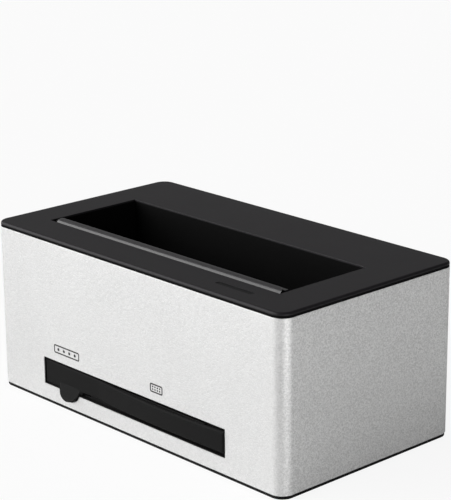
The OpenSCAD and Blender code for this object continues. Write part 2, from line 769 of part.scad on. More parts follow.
module header_pins() color("gold")
    for (row = [0, 1], i = [0 : header_columns - 1])
        if (!(row == 1 && i == header_key_column)) {
            x = header_x + (i - (header_columns - 1) / 2) * header_pitch;
            z = board_top + header_h / 2 + (row - 0.5) * header_pitch;
            tail = header_tail + row * header_pitch;
            block(x, socket_y + header_cavity - header_pin_l / 2, z - header_pin / 2,
                  header_pin, header_pin_l, header_pin);
            block(x, socket_y + header_d + tail / 2, z - header_pin / 2, header_pin, tail, header_pin);
            block(x, socket_y + header_d + tail - header_pin / 2, board_top,
                  header_pin, header_pin, z - board_top);
        }

// Outlet mouth with two cut corners
module outlet_outline(w, h) {
    polygon([[-w / 2, 0], [w / 2, 0], [w / 2, h - outlet_corner], [w / 2 - outlet_corner, h],
             [-w / 2 + outlet_corner, h], [-w / 2, h - outlet_corner]]);
}

module power_outlet() color("ivory") difference() {
    block(outlet_x, socket_y + outlet_d / 2, board_top, outlet_w, outlet_d, outlet_h);
    translate([outlet_x, socket_y + outlet_cavity, board_top + outlet_wall]) rotate([90, 0, 0])
        linear_extrude(outlet_cavity + cut) outlet_outline(outlet_w - 2 * outlet_wall, outlet_h - 2 * outlet_wall);
}

module outlet_pins() color("gold")
    for (i = [0 : 3])
        translate([outlet_x + (i - 1.5) * outlet_pitch, socket_y + outlet_cavity, board_top + outlet_h / 2])
            rotate([90, 0, 0]) cylinder(r = outlet_pin_r, h = outlet_pin_l);

module port_bezel() color("black") difference() {
    translate([window_x0 - bezel_margin, bezel_y, rim_z])
        cube([window_w + 2 * bezel_margin, bezel_t, bezel_top - rim_z]);
    port_mouths(mouth_gap, bezel_y - cut, bezel_t + 2 * cut);
}

// A mouth in front of a socket, grown by a gap
module port_mouth(x, w, h, gap, y, t) {
    block(x, y + t / 2, board_top - gap, w + 2 * gap, t, h + 2 * gap);
}

module port_mouths(gap, y, t) {
    port_mouth(header_x, header_w, header_h, gap, y, t);
    port_mouth(outlet_x, outlet_w, outlet_h, gap, y, t);
}

// Ring behind the cover that plugs into a mouth of the bezel
module plug_ring(x, w, h, y, t) {
    outer = mouth_gap - plug_ring_gap;
    difference() {
        port_mouth(x, w, h, outer, y, t);
        port_mouth(x, w, h, outer - plug_ring_t, y - cut, t + 2 * cut);
    }
}

// Everything behind the bowed part of the cover, set back from its outer face
module behind_bow(back) {
    translate([(bow_x0 + bow_x1) / 2, front_y - cover_bow + bow_r, 0])
        cylinder(r = bow_r - back, h = top_z, $fn = bow_fn);
}

module port_cover() color("black") {
    ring_end = bezel_y + bezel_t - seam;
    cover_z = window_z + cover_gap;
    cover_h = window_h - 2 * cover_gap;
    translate([window_x0 + cover_gap, cover_y, cover_z]) cube([crease_in - cover_gap + fuse, cover_t, cover_h]);
    tab_round(tab_r, cover_y, cover_t);
    plug_ring(outlet_x, outlet_w, outlet_h, cover_y + cover_t - fuse, ring_end - cover_y - cover_t + fuse);
    difference() {
        intersection() {
            translate([bow_x0, front_y - cover_bow - cut, cover_z])
                cube([bow_x1 - bow_x0, cover_bow + 2 * sleeve_t, cover_h]);
            behind_bow(0);
        }
        behind_bow(cover_t);
    }
    intersection() {
        plug_ring(header_x, header_w, header_h, front_y - cover_bow, ring_end - front_y + cover_bow);
        behind_bow(fuse);
    }
}

module rear_panel() color("black") difference() {
    union() {
        translate([-panel_w / 2 - panel_margin, panel_y, rim_z])
            cube([panel_w + 2 * panel_margin, panel_t, panel_z + panel_h + panel_margin - rim_z]);
        translate([-panel_w / 2 + slip, panel_y, panel_z + slip])
            cube([panel_w - 2 * slip, rear_y - panel_y, panel_h - 2 * slip]);
    }
    block(inlet_x, rear_y, board_top - slip, inlet_w + 2 * slip, 4 * inlet_d, inlet_h + 2 * slip);
    block(data_x, rear_y, board_top - slip, data_w + 2 * slip, 4 * data_d, data_h + 2 * slip);
    block(switch_x, rear_y, board_top - slip, switch_w + 2 * slip, 4 * switch_d, switch_h + 2 * slip);
}

module power_inlet() color("black") difference() {
    block(inlet_x, rear_y - inlet_d / 2, board_top, inlet_w, inlet_d, inlet_h);
    translate([inlet_x, rear_y + cut, board_top + inlet_h / 2]) rotate([90, 0, 0])
        cylinder(r = inlet_bore_r, h = inlet_bore_l + cut);
}

module inlet_pin() color("silver")
    translate([inlet_x, rear_y - inlet_bore_l, board_top + inlet_h / 2]) rotate([-90, 0, 0]) {
        cylinder(r = inlet_pin_r, h = inlet_pin_l - inlet_pin_r);
        translate([0, 0, inlet_pin_l - inlet_pin_r]) sphere(inlet_pin_r);
    }

// Square socket with two cut upper corners
module data_outline(w, h, c) {
    polygon([[-w / 2, 0], [w / 2, 0], [w / 2, h - c], [w / 2 - c, h], [-w / 2 + c, h], [-w / 2, h - c]]);
}

module data_socket() color("silver")
    translate([data_x, rear_y, board_top]) rotate([90, 0, 0]) linear_extrude(data_d) difference() {
        data_outline(data_w, data_h, data_corner);
        translate([0, data_wall]) data_outline(data_w - 2 * data_wall, data_h - 2 * data_wall, data_corner);
    }

module socket_tongue() color("whitesmoke")
    translate([data_x, rear_y, board_top]) rotate([90, 0, 0]) {
        translate([0, data_wall + seam, data_mouth]) linear_extrude(data_d - data_mouth)
            data_outline(data_w - 2 * data_wall - 2 * seam, data_h - 2 * data_wall - 2 * seam, data_corner);
        translate([-tongue_w / 2, data_h / 2 - tongue_h / 2, data_mouth - tongue_l])
            cube([tongue_w, tongue_h, tongue_l + fuse]);
    }

module socket_contacts() color("gold")
    for (side = [-1, 1], x = [-1, 1])
        translate([data_x + x * tongue_w / 4 - contact_w / 2, rear_y - data_mouth,
                   board_top + data_h / 2 + side * (tongue_h + contact_t) / 2 - contact_t / 2])
            cube([contact_w, contact_l, contact_t]);

module switch_body() color("black") difference() {
    block(switch_x, rear_y - switch_d / 2, board_top, switch_w, switch_d, switch_h);
    block(switch_x, rear_y - switch_pit / 2 + cut / 2, board_top + switch_wall,
          rocker_w + 2 * rocker_room, switch_pit + cut, switch_h - 2 * switch_wall);
    translate([switch_x, rocker_y, board_top + switch_wall - rocker_pivot_l - slip])
        cylinder(r = rocker_pivot_r + turn, h = switch_h - 2 * switch_wall + 2 * (rocker_pivot_l + slip));
}

// Rocker with a shallow hollow across its face, resting on its left side
module switch_rocker() color("darkgray")
    translate([switch_x, rocker_y, board_top + switch_h / 2]) rotate([0, 0, rocker_swing / 2]) {
        w = rocker_w / 2;
        translate([0, 0, -rocker_h / 2]) linear_extrude(rocker_h)
            polygon([[-w, rocker_face], [0, rocker_face - rocker_dip], [w, rocker_face],
                     [w - rocker_taper, -rocker_side], [w - rocker_slope, -rocker_back],
                     [rocker_slope - w, -rocker_back], [rocker_taper - w, -rocker_side]]);
        reach = switch_h - 2 * switch_wall + 2 * rocker_pivot_l;
        translate([0, 0, -reach / 2]) cylinder(r = rocker_pivot_r, h = reach);
    }

// Place on the main board
module on_board(spot) {
    translate([spot[0], spot[1], board_top]) children();
}

// Box standing on the main board
module board_block(spot, size) {
    on_board(spot) block(0, 0, 0, size[0], size[1], size[2]);
}

module bridge_chip() color("dimgray") board_block(bridge_spot, bridge_size);

module memory_chip() color("dimgray") board_block(memory_spot, memory_size);

module crystal() color("silver") on_board(crystal_spot) linear_extrude(crystal_h) {
    square([crystal_l, 2 * crystal_r], center = true);
    for (x = [-1, 1]) translate([x * crystal_l / 2, 0]) circle(crystal_r);
}

module capacitors() color("navy")
    for (spot = capacitor_spots) on_board(spot) cylinder(r = capacitor_r, h = capacitor_h);

module coils() color("gray")
    for (spot = coil_spots) difference() {
        board_block(spot, coil_size);
        on_board(spot) translate([0, 0, coil_size[2] - coil_ring_t])
            cylinder(r = coil_ring_r, h = coil_ring_t + cut);
    }

module regulator() color("dimgray") {
    board_block(regulator_spot, regulator_size);
    tab_y = (regulator_size[1] + regulator_tab[1]) / 2 - fuse;
    board_block(regulator_spot + [0, tab_y], regulator_tab + [0, fuse, 0]);
}

sleeve();
top_frame();
drive_well();
slot_flap();
flap_pin();
flap_spring();
light_guide();
indicator_lamps();
indicator_board();
base_plate();
rubber_feet();
base_screws();
frame_screws();
main_board();
board_screws();
drive_board();
drive_board_screws();
drive_receptacle();
drive_contacts();
riser_board();
riser_headers();
box_header();
header_pins();
power_outlet();
outlet_pins();
port_bezel();
port_cover();
rear_panel();
power_inlet();
inlet_pin();
data_socket();
socket_tongue();
socket_contacts();
switch_body();
switch_rocker();
bridge_chip();
memory_chip();
crystal();
capacitors();
coils();
regulator();
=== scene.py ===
"""Looks of a hard drive docking station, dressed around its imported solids.

Metres, +Z up, front towards -Y. Sizes below are in millimetres and pass through mm.
"""

import math

import bpy
from mathutils import Matrix, Vector


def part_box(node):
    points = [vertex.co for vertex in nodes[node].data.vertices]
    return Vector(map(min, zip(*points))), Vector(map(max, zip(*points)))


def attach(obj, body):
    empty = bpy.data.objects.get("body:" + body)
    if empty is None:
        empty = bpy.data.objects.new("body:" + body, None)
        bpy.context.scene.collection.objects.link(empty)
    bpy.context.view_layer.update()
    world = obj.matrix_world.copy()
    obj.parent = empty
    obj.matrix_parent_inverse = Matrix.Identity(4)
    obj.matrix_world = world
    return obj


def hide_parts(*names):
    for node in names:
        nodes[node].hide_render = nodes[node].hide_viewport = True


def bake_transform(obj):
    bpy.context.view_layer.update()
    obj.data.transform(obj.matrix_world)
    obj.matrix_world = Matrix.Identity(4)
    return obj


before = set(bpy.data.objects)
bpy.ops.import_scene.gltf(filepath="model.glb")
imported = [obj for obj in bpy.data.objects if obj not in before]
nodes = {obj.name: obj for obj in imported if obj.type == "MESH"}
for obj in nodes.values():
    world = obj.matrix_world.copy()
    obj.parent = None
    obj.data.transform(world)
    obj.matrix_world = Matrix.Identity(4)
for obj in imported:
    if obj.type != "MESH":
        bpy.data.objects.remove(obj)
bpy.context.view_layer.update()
scene = bpy.context.scene
scene.view_settings.view_transform = "Standard"
mm = 0.001


def point(x, y, z):
    """A place given in millimetres."""
    return Vector((x * mm, y * mm, z * mm))


# Camera, at the photograph's viewing angle

camera_place = point(598.51, -545.57, 323.08)
camera_right = Vector((0.67920, 0.73390, -0.00859))
camera_up = Vector((-0.20816, 0.20384, 0.95662))
camera_back = camera_right.cross(camera_up)

camera_data = bpy.data.cameras.new("camera")
camera_data.lens = 134.776
camera_data.sensor_width = 36
camera_data.clip_start = 0.01
camera = bpy.data.objects.new("camera", camera_data)
turned = Matrix((camera_right, camera_up, camera_back)).transposed().to_4x4()
camera.matrix_world = Matrix.Translation(camera_place) @ turned
scene.collection.objects.link(camera)
scene.camera = camera


# Shader building

class Signal:
    """A value that varies over a surface. A sum written on it adds Math nodes to its finish."""

    def __init__(self, finish, socket):
        self.finish = finish
        self.socket = socket

    def math(self, operation, first, second):
        return self.finish.node("ShaderNodeMath", {"operation": operation}, {0: first, 1: second})

    def __add__(self, other):
        return self.math("ADD", self, other)

    def __radd__(self, other):
        return self.math("ADD", other, self)

    def __sub__(self, other):
        return self.math("SUBTRACT", self, other)

    def __rsub__(self, other):
        return self.math("SUBTRACT", other, self)

    def __mul__(self, other):
        return self.math("MULTIPLY", self, other)

    def __rmul__(self, other):
        return self.math("MULTIPLY", other, self)


class Finish:
    """A material: constant values go straight onto its shader, and signals come from its nodes."""

    def __init__(self, name, **constants):
        self.material = bpy.data.materials.new(name)
        self.material.use_nodes = True
        self.tree = self.material.node_tree
        self.shader = self.tree.nodes["Principled BSDF"]
        for socket, value in constants.items():
            self.shader.inputs[socket.replace("_", " ")].default_value = value
        self.place = self.node("ShaderNodeTexCoord", output="Object")

    def node(self, kind, settings=None, inputs=None, output=0):
        """Adds a node: its settings first, then the values or links of its sockets."""
        node = self.tree.nodes.new(kind)
        for name, value in (settings or {}).items():
            setattr(node, name, value)
        for socket, value in (inputs or {}).items():
            if isinstance(value, Signal):
                self.tree.links.new(value.socket, node.inputs[socket])
            else:
                node.inputs[socket].default_value = value
        return Signal(self, node.outputs[output])

    def feed(self, **signals):
        """Links signals to the shader's sockets."""
        for socket, signal in signals.items():
            self.tree.links.new(signal.socket, self.shader.inputs[socket.replace("_", " ")])
        return self

    def stretched(self, x, y, z):
        """Object coordinates drawn out or pressed together along each axis."""
        return self.node("ShaderNodeMapping", {}, {"Vector": self.place, "Scale": (x, y, z)})

    def noise(self, size, detail=2, where=None):
        """Soft noise between 0 and 1, with patches of about the size given in millimetres."""
        return self.node("ShaderNodeTexNoise", {}, {
            "Vector": where or self.place, "Scale": 1 / (size * mm), "Detail": detail}, "Fac")

    def grains(self, size, output="Distance"):
        """Packed cells of a size in millimetres: the distance from each one's middle, or its own colour."""
        return self.node("ShaderNodeTexVoronoi", {}, {"Vector": self.place, "Scale": 1 / (size * mm)}, output)

    def axis(self, name, vector):
        """One coordinate of a vector."""
        return self.node("ShaderNodeSeparateXYZ", {}, {0: vector}, name)

    def facing(self, name):
        """One coordinate of the surface's normal."""
        return self.axis(name, self.node("ShaderNodeNewGeometry", output="Normal"))

    def steps(self, low, high, signal):
        """Signal carried smoothly from 0 at low to 1 at high."""
        return self.node("ShaderNodeMapRange", {"interpolation_type": "SMOOTHSTEP"}, {
            "Value": signal, "From Min": low, "From Max": high})

    def blend(self, first, second, share):
        """One colour turning into another as share goes from 0 to 1."""
        settings = {"data_type": "RGBA"}
        return self.node("ShaderNodeMix", settings, {0: share, 6: colour(first), 7: colour(second)}, 2)

    def edges(self, width):
        """1 along sharp outer and inner edges, fading to 0 over a width in millimetres."""
        soft = self.node("ShaderNodeBevel", {"samples": 4}, {"Radius": width * mm})
        plain = self.node("ShaderNodeNewGeometry", output="Normal")
        agree = self.node("ShaderNodeVectorMath", {"operation": "DOT_PRODUCT"}, {0: soft, 1: plain}, "Value")
        return self.steps(0.01, 0.25, 1 - agree)

    def bump(self, height, depth):
        """Normal of a relief whose full height is the depth given in millimetres."""
        return self.node("ShaderNodeBump", {}, {"Height": height, "Distance": depth * mm})


def colour(value):
    """A grey level or a colour as Blender wants it, and a signal as it is."""
    if isinstance(value, Signal):
        return value
    if isinstance(value, (int, float)):
        value = (value, value, value)
    return (*value, 1)


# Finishes

def blasted_aluminium():
    """Satin silver: a blasted grain whose contrast is raised on the ends as painted glancing light, faint
    mottling, and edges rubbed bright.
    """
    metal = Finish("blasted_aluminium", Metallic=1, Specular_IOR_Level=0.5)
    grain = metal.noise(1.0, 3)
    speckle = metal.axis("X", metal.grains(0.5, "Color"))
    cloud = metal.noise(30, 2)
    rub = metal.edges(0.25)
    # Painted light: the grain's contrast grows on faces turned to the ends, standing in for the glancing light
    # that shows the grain there.
    ends = metal.facing("X") * metal.facing("X")
    uneven = 0.5 * grain + 0.4 * speckle + 0.1 * cloud - 0.5
    tone = 0.5 + uneven * (0.85 + 1.6 * ends)
    silver = metal.blend((0.54, 0.54, 0.538), (0.75, 0.75, 0.745), tone)
    metal.feed(
        Base_Color=metal.blend(silver, (0.82, 0.82, 0.815), rub * 0.4),
        Roughness=0.42 + 0.16 * grain + 0.04 * cloud - 0.12 * rub,
        Normal=metal.bump(grain * 0.6 + speckle * 0.4, 0.07),
    )
    return metal.material


def moulded_plastic(name, dark, light, rough, depth, specular, rub_light):
    """Black plastic from a spark-eroded mould: a fine pebbled skin that shines where it is rubbed."""
    plastic = Finish(name, Specular_IOR_Level=specular)
    pebble = plastic.grains(0.42)
    skin = plastic.noise(0.2, 2)
    cloud = plastic.noise(22, 3)
    rub = plastic.edges(0.45)
    black = plastic.blend(dark, light, cloud * 0.6 + skin * 0.4)
    plastic.feed(
        Base_Color=plastic.blend(black, rub_light, rub * 0.5),
        Roughness=rough + 0.12 * skin + 0.05 * cloud - 0.12 * rub,
        Normal=plastic.bump(pebble * 0.6 + skin * 0.4, depth),
    )
    return plastic.material


def soft_rubber():
    """Matte black rubber with a dusty bloom, a fine dry grain, and lighter rounded edges that are partly wear
    and partly a painted highlight.
    """
    rubber = Finish("soft_rubber", Specular_IOR_Level=0.1)
    grain = rubber.noise(0.25, 4)
    bloom = rubber.noise(9, 4)
    # Lighter edges: partly wear, partly a painted highlight where the rounded edges catch light.
    worn_and_painted_highlight = rubber.edges(1.0)
    black = rubber.blend(0.003, 0.006, bloom * 0.7 + grain * 0.3)
    rubber.feed(
        Base_Color=rubber.blend(black, 0.035, worn_and_painted_highlight * 0.8),
        Roughness=0.62 + 0.14 * grain + 0.08 * bloom,
        Normal=rubber.bump(grain, 0.02),
    )
    return rubber.material


def plated_metal(name, dark, light, rough, draw=(1, 1, 0.08), size=0.3):
    """Plated metal with fine drawing lines, faint stains and brighter edges."""
    metal = Finish(name, Metallic=1)
    lines = metal.noise(size, 3, metal.stretched(*draw))
    stain = metal.noise(3.5, 3)
    bright = metal.edges(0.2)
    plate = metal.blend(dark, light, lines * 0.5 + stain * 0.5)
    metal.feed(
        Base_Color=metal.blend(plate, light, bright),
        Roughness=rough + 0.14 * lines + 0.08 * stain - 0.08 * bright,
        Normal=metal.bump(lines, 0.004),
    )
    return metal.material


def smoked_acrylic():
    """Smoked plastic, nearly black while its lamps are off, with faint flow marks."""
    acrylic = Finish("smoked_acrylic", Specular_IOR_Level=0.05)
    flow = acrylic.noise(2.5, 2, acrylic.stretched(0.25, 1, 1))
    haze = acrylic.noise(0.3, 2)
    acrylic.feed(
        Base_Color=acrylic.blend((0.001, 0.001, 0.0012), (0.003, 0.003, 0.0035), flow),
        Roughness=0.3 + 0.1 * haze,
        Normal=acrylic.bump(flow, 0.01),
    )
    return acrylic.material


def cast_resin(name, dark, light, rough, speck, depth):
    """Cast or pressed filler: specks in a plain ground, as on lamps, chips and cores."""
    resin = Finish(name)
    specks = resin.axis("X", resin.grains(speck, "Color"))
    ground = resin.noise(2.2, 3)
    chipped = resin.edges(0.25)
    body = resin.blend(dark, light, 0.5 * specks + 0.5 * ground)
    resin.feed(
        Base_Color=resin.blend(body, light, chipped * 0.8),
        Roughness=rough + 0.14 * specks + 0.06 * ground,
        Normal=resin.bump(specks, depth),
    )
    return resin.material


def solder_mask():
    """Green board: copper runs under the mask, a sheen of lacquer, and the bare fibre at its cut edges."""
    board = Finish("solder_mask", Coat_Roughness=0.2)
    runs = board.node("ShaderNodeTexBrick", {"offset": 0.37, "squash": 0.6}, {
        "Vector": board.place, "Color1": colour(0.0), "Color2": colour(0.35), "Mortar": colour(1.0),
        "Scale": 1 / (9 * mm), "Mortar Size": 0.03, "Brick Width": 0.9, "Row Height": 0.16}, "Color")
    copper = board.node("ShaderNodeRGBToBW", {}, {0: runs})
    weave = board.noise(0.8, 2)
    cut_edge = board.steps(0.2, 0.6, 1 - board.facing("Z") * board.facing("Z"))
    mask = board.blend((0.006, 0.055, 0.020), (0.020, 0.155, 0.055), 0.75 * copper + 0.25 * weave)
    board.feed(
        Base_Color=board.blend(mask, (0.34, 0.29, 0.16), cut_edge),
        Roughness=0.30 + 0.12 * weave + 0.25 * cut_edge,
        Coat_Weight=0.35 - 0.3 * cut_edge,
        Normal=board.bump(copper * 0.8 + weave * 0.2, 0.02),
    )
    return board.material


def shrink_sleeve():
    """Capacitor: a dark blue shrunk sleeve, with the bare can on top."""
    can = Finish("shrink_sleeve")
    wrap = can.noise(1.6, 3, can.stretched(1, 1, 0.3))
    lid = can.steps(0.7, 0.9, can.facing("Z"))
    lines = can.noise(0.25, 2)
    blue = can.blend((0.010, 0.013, 0.050), (0.022, 0.030, 0.110), wrap)
    can.feed(
        Base_Color=can.blend(blue, (0.66, 0.66, 0.65), lid),
        Metallic=lid,
        Roughness=0.26 + 0.12 * lines,
        Normal=can.bump(wrap * 0.7 + lines * 0.3, 0.02),
    )
    return can.material


def printed_ink(name, full, faint):
    """Printing ink, a little thin where the ground's grain shows through."""
    ink = Finish(name, Specular_IOR_Level=0.3)
    thin = ink.noise(0.3, 3)
    wash = ink.noise(3, 2)
    ink.feed(
        Base_Color=ink.blend(full, faint, 0.7 * thin + 0.3 * wash),
        Roughness=0.55 + 0.2 * thin,
        Normal=ink.bump(thin, 0.008),
    )
    return ink.material


finishes = {
    "sleeve_metal": blasted_aluminium(),
    "frame_plastic": moulded_plastic(
        "pebbled_frame", (0.0084, 0.0074, 0.0088), (0.0126, 0.0114, 0.0130),
        rough=0.37, depth=0.016, specular=0.15, rub_light=0.04),
    # The well's plastic is darker than black plastic's own colour: painted shade for the inside of the drive
    # well, also used for the frame's neck.
    "well_plastic": moulded_plastic(
        "matte_well_painted_shade", 0.0015, 0.003, rough=0.66, depth=0.014, specular=0.05, rub_light=0.004),
    "flap_plastic": moulded_plastic(
        "satin_flap", (0.0105, 0.0095, 0.0110), (0.0150, 0.0138, 0.0155),
        rough=0.31, depth=0.008, specular=0.5, rub_light=0.05),
    "cover_rubber": soft_rubber(),
    "steel": plated_metal("zinc_plated_steel", (0.46, 0.46, 0.45), (0.68, 0.68, 0.67), rough=0.26),
    "guide_smoke": smoked_acrylic(),
    "lamp_white": cast_resin(
        "lamp_resin", (0.72, 0.72, 0.66), (0.84, 0.84, 0.80), rough=0.22, speck=0.6, depth=0.004),
    "board_green": solder_mask(),
    "connector_black": moulded_plastic(
        "connector_plastic", 0.009, 0.015, rough=0.44, depth=0.008, specular=0.5, rub_light=0.03),
    "contact_gold": plated_metal(
        "gold_plate", (0.72, 0.50, 0.17), (0.88, 0.66, 0.30), rough=0.20, draw=(1, 0.08, 1), size=0.15),
    "nylon_white": cast_resin(
        "moulded_nylon", (0.66, 0.64, 0.57), (0.76, 0.75, 0.69), rough=0.42, speck=0.5, depth=0.006),
    "shell_nickel": plated_metal(
        "nickel_plate", (0.52, 0.51, 0.49), (0.72, 0.71, 0.69), rough=0.22, draw=(1, 0.08, 1)),
    "chip_epoxy": cast_resin("chip_epoxy", 0.011, 0.028, rough=0.55, speck=0.18, depth=0.008),
    "capacitor_sleeve": shrink_sleeve(),
    "ferrite": cast_resin("ferrite", 0.045, 0.105, rough=0.62, speck=0.3, depth=0.014),
}
dark_ink = printed_ink("dark_ink", 0.012, 0.050)
white_ink = printed_ink("white_ink", 0.72, 0.50)
# A darker, duller copy of the black plastic for the base plate, the port bezel and the base lip: partly their
# own matte finish, partly painted shade for parts that sit low down or behind the window.
matte_base_painted_shade = moulded_plastic(
    "matte_base_painted_shade", 0.004, 0.008, rough=0.6, depth=0.012, specular=0.1, rub_light=0.015)
blackened_steel = plated_metal("blackened_steel", 0.018, 0.045, rough=0.42)

nodes_by_slot = {
    "sleeve_metal": ["sleeve"],
    "frame_plastic": ["top_frame", "base_plate"],
    "well_plastic": ["drive_well"],
    "flap_plastic": ["slot_flap"],
    "cover_rubber": ["port_cover", "rubber_feet"],
    "steel": ["flap_pin", "flap_spring", "base_screws", "frame_screws", "board_screws", "drive_board_screws"],
    "guide_smoke": ["light_guide"],
    "lamp_white": ["indicator_lamps"],
    "board_green": ["indicator_board", "main_board", "drive_board", "riser_board"],
    "connector_black": ["drive_receptacle", "riser_headers", "box_header", "port_bezel", "rear_panel",
                        "power_inlet", "switch_body", "switch_rocker"],
    "contact_gold": ["drive_contacts", "header_pins", "outlet_pins", "socket_contacts"],
    "nylon_white": ["power_outlet", "socket_tongue"],
    "shell_nickel": ["data_socket", "inlet_pin", "crystal"],
    "chip_epoxy": ["bridge_chip", "memory_chip", "regulator"],
    "capacitor_sleeve": ["capacitors"],
    "ferrite": ["coils"],
}
own_finish = {"base_plate": matte_base_painted_shade, "flap_pin": blackened_steel}
for slot, names in nodes_by_slot.items():
    for name in names:
        materials = nodes[name].data.materials
        materials.clear()
        materials.append(own_finish.get(name, finishes[slot]))


# Modelling

def only(piece):
    """Selects one object, and nothing else."""
    bpy.ops.object.select_all(action="DESELECT")
    piece.select_set(True)
    bpy.context.view_layer.objects.active = piece


def named(name):
    """Gives the new primitive its name and puts its place into its mesh."""
    piece = bpy.context.object
    piece.name = name
    piece.data.name = name
    only(piece)
    bpy.ops.object.transform_apply(location=True, rotation=True, scale=True)
    return piece


def box(name, low, high):
    """A box between two corners."""
    bpy.ops.object.select_all(action="DESELECT")
    bpy.ops.mesh.primitive_cube_add(size=1, location=(low + high) / 2, scale=high - low)
    return named(name)


def rod(name, middle, radius, length, along, sides):
    """A round bar about its middle, along one axis."""
    turn = {"X": (0, math.pi / 2, 0), "Y": (math.pi / 2, 0, 0), "Z": (0, 0, 0)}[along]
    bpy.ops.object.select_all(action="DESELECT")
    bpy.ops.mesh.primitive_cylinder_add(
        vertices=sides, radius=radius, depth=length, location=middle, rotation=turn)
    return named(name)


def pick(piece, kind, chosen):
    """Opens a piece for editing, with only the chosen faces, edges or points selected."""
    only(piece)
    bpy.ops.object.mode_set(mode="EDIT")
    bpy.ops.mesh.select_mode(type=kind)
    bpy.ops.mesh.select_all(action="DESELECT")
    bpy.ops.object.mode_set(mode="OBJECT")
    mesh = piece.data
    if kind == "EDGE":
        for edge in mesh.edges:
            first, second = (mesh.vertices[v].co for v in edge.vertices)
            edge.select = chosen((first + second) / 2, (second - first).normalized())
    else:
        for item in mesh.polygons if kind == "FACE" else mesh.vertices:
            item.select = chosen(item.center if kind == "FACE" else item.co, item.normal)
    bpy.ops.object.mode_set(mode="EDIT")


def done():
    """Leaves editing."""
    bpy.ops.object.mode_set(mode="OBJECT")


def modify(piece, kind, **settings):
    """Adds a modifier and applies it."""
    only(piece)
    modifier = piece.modifiers.new(kind, kind)
    for name, value in settings.items():
        setattr(modifier, name, value)
    bpy.ops.object.modifier_apply(modifier=modifier.name)


def combine(piece, tool, operation):
    """Cuts a piece by a tool or joins the tool to it, and uses the tool up."""
    modify(piece, "BOOLEAN", operation=operation, solver="EXACT", object=tool)
    mesh = tool.data
    bpy.data.objects.remove(tool)
    bpy.data.meshes.remove(mesh)


def cut(piece, tool):
    combine(piece, tool, "DIFFERENCE")


def add(piece, tool):
    combine(piece, tool, "UNION")


def round_edges(piece, radius, chosen, segments):
    """Rounds the chosen edges."""
    pick(piece, "EDGE", chosen)
    bpy.ops.mesh.bevel(offset=radius, offset_type="OFFSET", segments=segments, profile=0.5, affect="EDGES")
    done()


def ease(piece, width):
    """Breaks every sharp edge a little, as a real piece's are."""
    modify(piece, "BEVEL", width=width, segments=2, limit_method="ANGLE",
           angle_limit=math.radians(50), use_clamp_overlap=True, miter_outer="MITER_ARC")


def smooth(piece):
    """Smooth shading that keeps flat faces flat."""
    only(piece)
    bpy.ops.object.shade_smooth_by_angle(angle=math.radians(40))
    modify(piece, "WEIGHTED_NORMAL", keep_sharp=True, weight=50)


def dress(piece, body, slot, *replaced, material=None):
    """Gives a finished piece smooth shading and its material, picked by its slot unless one is given, puts it
    on its body, and hides the nodes that it stands for.
    """
    smooth(piece)
    piece.data.materials.clear()
    piece.data.materials.append(material or finishes[slot])
    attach(piece, body)
    if replaced:
        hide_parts(*replaced)


def rounded_box(name, low, high, radius):
    """A box with round upright edges."""
    piece = box(name, low, high)
    round_edges(piece, radius, lambda place, way: abs(way.z) > 0.9, 16)
    return piece


def rounded_tube(name, low, high, radius, wall):
    """A round-cornered tube that stands open at both ends, its wall inside its outline."""
    piece = rounded_box(name, low, high, radius)
    pick(piece, "FACE", lambda place, way: abs(way.z) > 0.9)
    bpy.ops.mesh.delete(type="FACE")
    done()
    modify(piece, "SOLIDIFY", thickness=wall, offset=-1, use_even_offset=True)
    return piece


# Sizes shared by the pieces. Places nearer than near are the same, and a tool reaches over past what it cuts.

near = 1e-6
over = 1 * mm
corner = 6.2 * mm
wall = 2 * mm
rim = 1.6 * mm
sleeve_low, sleeve_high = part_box("sleeve")
frame_low, frame_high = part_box("top_frame")
flap_low, flap_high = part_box("slot_flap")
cover_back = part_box("port_cover")[1].y
front = sleeve_low.y
back = sleeve_high.y
slot_low = point(-77.65, -34.15, 0)
slot_high = point(75.85, 17.35, 0)
window_low = point(-62.3, -52.75, 9.4)
window_high = point(61.7, -52.75, 22.6)
tab_middle = point(-43.7, -52.75, 12.6)
tab_radius = 7.4 * mm
tab_room = tab_radius + 0.3 * mm
hinge = point(0, -30.65, 79.5)
rim_z = sleeve_high.z - 0.25 * mm
groove_z = sleeve_high.z + 0.95 * mm
half_slit = 1.4 * mm


def on_outline(place):
    """True near the sleeve's outer outline, and not on its inner wall."""
    inside = 0.5 * wall
    reach = corner - inside
    edge_x = max(abs(place.x) - (sleeve_high.x - corner), 0)
    edge_y = max(abs(place.y) - (sleeve_high.y - corner), 0)
    return math.hypot(edge_x, edge_y) > reach


def in_window(place):
    """True on the rim of the front window and its tab notch."""
    slack = 0.5 * mm
    across = window_low.x - slack < place.x < window_high.x + slack
    upright = window_low.z - slack < place.z < window_high.z + slack
    from_tab = math.hypot(place.x - tab_middle.x, place.z - tab_middle.z)
    return across and upright or from_tab < tab_radius + slack


def in_panel(place, low, high, foot, edge):
    """True on the rim of the rear panel's window."""
    slack = 0.1 * mm
    across = low.x + edge - slack < place.x < high.x - edge + slack
    return across and foot - slack < place.z < high.z - edge + slack


def in_slot(place):
    """True on the rim of the drive slot."""
    slack = 0.1 * mm
    across = slot_low.x - slack < place.x < slot_high.x + slack
    return across and slot_low.y - slack < place.y < slot_high.y + slack


def slot_box(name, margin, high):
    """A tool as wide as the drive slot and its margin, from below the frame up to a height."""
    return box(name, Vector((slot_low.x - margin, slot_low.y - margin, frame_low.z - over)),
               Vector((slot_high.x + margin, slot_high.y + margin, high)))


